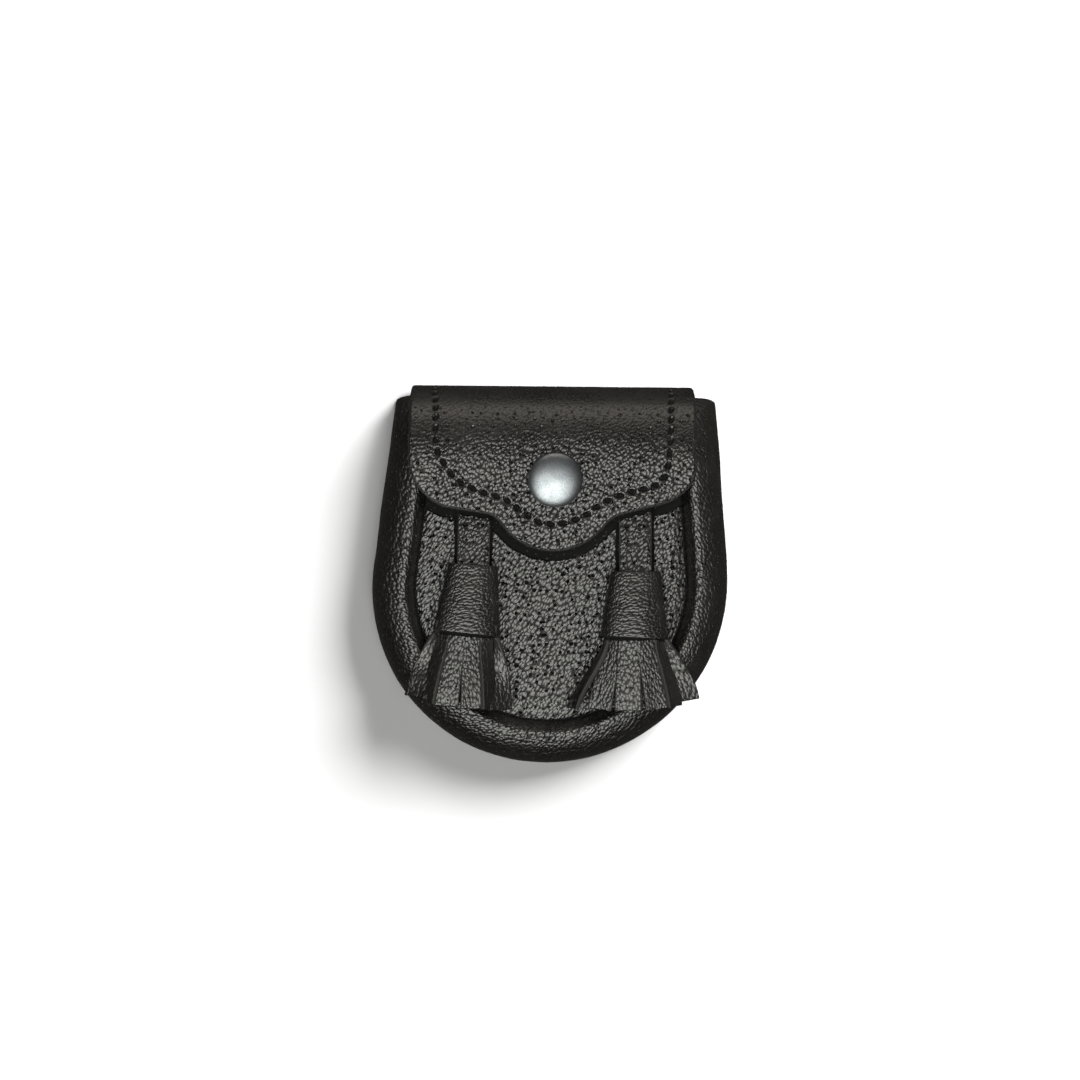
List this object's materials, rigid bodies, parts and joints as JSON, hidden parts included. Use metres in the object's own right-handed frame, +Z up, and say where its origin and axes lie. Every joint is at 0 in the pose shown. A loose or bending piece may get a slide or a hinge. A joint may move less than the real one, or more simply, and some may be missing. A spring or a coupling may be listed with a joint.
{
  "type": "sporran pouch",
  "caption": "Small leather belt pouch with a rolled gusset round its foot, a flap held by a domed snap and leather tassels on short straps.",
  "frame": {"origin": "on the surface that the pouch lies on, at the middle of its length and width", "axes": "+X to the right as seen from the front, +Y towards the fold at the top of the pouch, +Z up out of the front face"},
  "size_m": [0.0989, 0.105, 0.0314],
  "materials": {
    "pebbled_leather": "pebbled black leather, semi-gloss",
    "roll_leather": "finely grained black leather, semi-gloss",
    "panel_leather": "pebbled black leather, semi-gloss",
    "snap_metal": "satin nickel-plated",
    "stud_metal": "nickel-plated",
    "strap_leather": "pebbled black leather, semi-gloss",
    "tassel_leather": "soft black leather, semi-gloss",
    "thong_leather": "soft black leather, semi-gloss"
  },
  "bodies": {
    "root": {"back_and_flap": "pebbled_leather", "gusset": "roll_leather", "front_panel": "panel_leather", "snap_cap": "snap_metal", "snap_stud": "stud_metal", "strap_left": "strap_leather", "sleeve_left": "tassel_leather", "fringe_left": "thong_leather", "strap_right": "strap_leather", "sleeve_right": "tassel_leather", "fringe_right": "thong_leather"}
  },
  "joints": []
}
